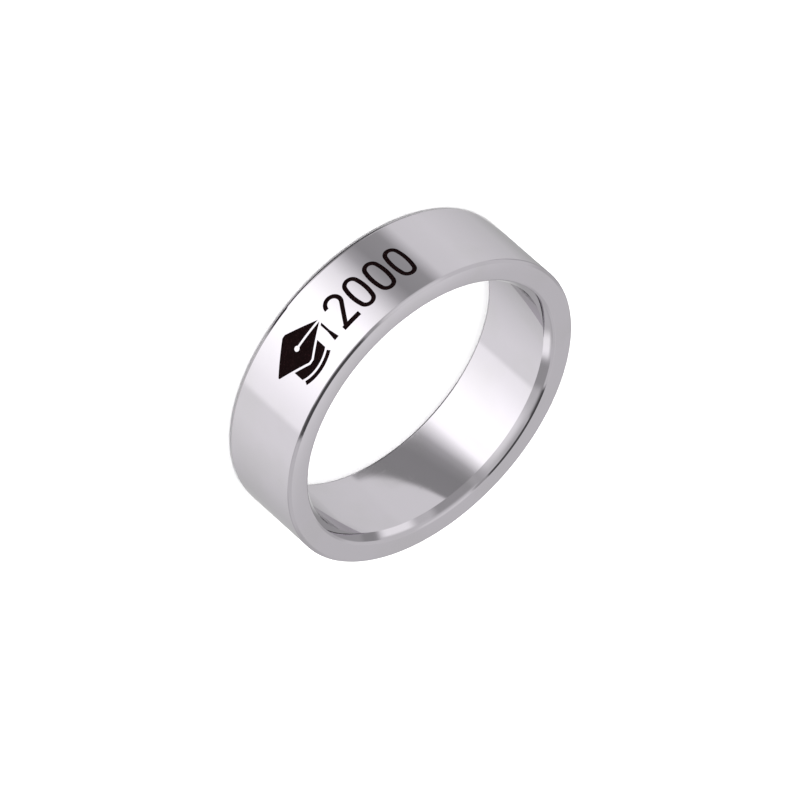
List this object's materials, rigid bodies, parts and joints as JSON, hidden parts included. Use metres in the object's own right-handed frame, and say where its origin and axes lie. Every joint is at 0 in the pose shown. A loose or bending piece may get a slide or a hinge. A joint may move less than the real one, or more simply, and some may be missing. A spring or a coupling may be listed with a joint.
{
  "type": "graduation ring",
  "caption": "Flat band ring of polished steel with a blackened engraving of a graduation cap and a plain number, lying on its side.",
  "frame": {"origin": "middle of the lower end face, on the surface that the ring lies on", "axes": "+Z along the ring's axis, upwards; the middle of the engraving faces -Y and its figures' tops point down"},
  "size_m": [0.0228, 0.0228, 0.006],
  "materials": {
    "steel": "mirror-polished stainless steel with fine wear",
    "black_fill": "black enamel, satin"
  },
  "bodies": {
    "root": {"band": "steel", "cap_board": "black_fill", "cap_head": "black_fill", "cap_rim": "black_fill", "cap_tassel": "black_fill", "figure_1": "black_fill", "figure_2": "black_fill", "figure_3": "black_fill", "figure_4": "black_fill"}
  },
  "joints": []
}
